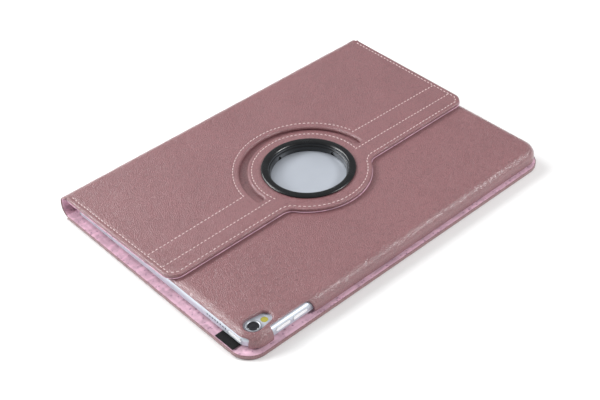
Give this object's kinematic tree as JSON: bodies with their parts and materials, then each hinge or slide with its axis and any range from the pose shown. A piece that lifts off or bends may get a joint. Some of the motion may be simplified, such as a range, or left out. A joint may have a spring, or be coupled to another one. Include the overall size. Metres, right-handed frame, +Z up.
{
  "type": "tablet computer",
  "caption": "Tablet computer lying face down in a leatherette folio: soft spine, back flap with a swivel ring and window, hard tray, and buttons that press.",
  "frame": {"origin": "point on the table under the swivel's axis, with the folio closed and its front cover down", "axes": "+X along the tablet's long side away from the camera end, +Y towards the spine, +Z up"},
  "size_m": [0.2604, 0.1844, 0.0177],
  "materials": {
    "case_leather": "pebbled leatherette, satin",
    "microfibre": "brushed microfibre",
    "stiff_board": "pressed fibreboard",
    "magnet_steel": "nickel plated",
    "elastic_webbing": "ribbed elastic",
    "ring_plastic": "glossy moulded",
    "swivel_plastic": "moulded",
    "washer_plastic": "waxy",
    "screw_steel": "zinc plated",
    "tray_plastic": "moulded",
    "housing_aluminium": "bead blasted, anodised",
    "front_glass": "polished",
    "display_stack": "polariser film",
    "backing_steel": "bright",
    "battery_foil": "pouch foil",
    "battery_glue": "adhesive sheet",
    "circuit_board": "solder mask",
    "shield_steel": "tin plated",
    "camera_plastic": "moulded",
    "trim_aluminium": "polished",
    "lens_glass": "polished",
    "flash_glass": "frosted",
    "speaker_plastic": "moulded",
    "socket_plastic": "moulded",
    "socket_steel": "nickel plated",
    "contact_gold": "gold plated",
    "flex_film": "polyimide",
    "button_aluminium": "anodised",
    "button_glass": "polished"
  },
  "bodies": {
    "front_cover": {"front_cover_leather": "case_leather", "front_cover_board": "stiff_board", "front_cover_lining": "microfibre", "cover_magnets": "magnet_steel", "elastic_strap": "elastic_webbing"},
    "spine": {"spine_leather": "case_leather", "spine_lining": "microfibre"},
    "back_flap": {"flap_leather": "case_leather", "flap_spine_board": "stiff_board", "flap_disc_board": "stiff_board", "flap_hinge_strip": "microfibre", "flap_lining": "microfibre", "swivel_bush": "swivel_plastic", "swivel_washer": "washer_plastic"},
    "tray": {"swivel_ring": "ring_plastic", "swivel_hub": "swivel_plastic", "swivel_screws": "screw_steel", "tray_shell": "tray_plastic", "tray_leather": "case_leather", "tray_lining": "microfibre", "rear_housing": "housing_aluminium", "display_glass": "front_glass", "display_panel": "display_stack", "display_plate": "backing_steel", "battery_cells": "battery_foil", "battery_tray": "battery_glue", "logic_board": "circuit_board", "chip_shields": "shield_steel", "board_screws": "screw_steel", "socket_board": "circuit_board", "rear_camera_module": "camera_plastic", "rear_camera_ring": "trim_aluminium", "rear_camera_lens": "lens_glass", "flash_lens": "flash_glass", "front_camera": "camera_plastic", "speakers": "speaker_plastic", "headphone_socket": "socket_plastic", "charging_socket": "socket_steel", "microphone": "contact_gold", "keyboard_contacts": "contact_gold", "antennas": "flex_film", "display_flex": "flex_film", "battery_flex": "flex_film", "button_flex": "flex_film", "button_switches": "shield_steel", "home_button_ring": "trim_aluminium", "home_button_sensor": "camera_plastic"},
    "power_key": {"power_button": "button_aluminium"},
    "volume_up_key": {"volume_up_button": "button_aluminium"},
    "volume_down_key": {"volume_down_button": "button_aluminium"},
    "home_key": {"home_button": "button_glass"}
  },
  "joints": [
    {"name": "cover_fold", "type": "hinge", "parent": "front_cover", "child": "spine", "pos_m": [0, 0.09145, 0.00139], "axis": [-1, 0, 0], "range_deg": [0, 175], "deforming": ["spine_leather", "spine_lining"]},
    {"name": "flap_fold", "type": "hinge", "parent": "spine", "child": "back_flap", "pos_m": [0, 0.09145, 0.015], "axis": [-1, 0, 0], "range_deg": [0, 175]},
    {"name": "swivel", "type": "hinge", "parent": "back_flap", "child": "tray", "pos_m": [0, 0, 0.0125], "axis": [0, 0, 1], "range_deg": [-180, 180]},
    {"name": "power_press", "type": "slide", "parent": "tray", "child": "power_key", "axis": [1, 0, 0], "range_m": [0, 0.0003], "stiffness_N_per_m": 3000},
    {"name": "volume_up_press", "type": "slide", "parent": "tray", "child": "volume_up_key", "axis": [0, 1, 0], "range_m": [0, 0.0003], "stiffness_N_per_m": 3000},
    {"name": "volume_down_press", "type": "slide", "parent": "tray", "child": "volume_down_key", "axis": [0, 1, 0], "range_m": [0, 0.0003], "stiffness_N_per_m": 3000},
    {"name": "home_press", "type": "slide", "parent": "tray", "child": "home_key", "axis": [0, 0, 1], "range_m": [0, 0.0003], "stiffness_N_per_m": 3000}
  ]
}
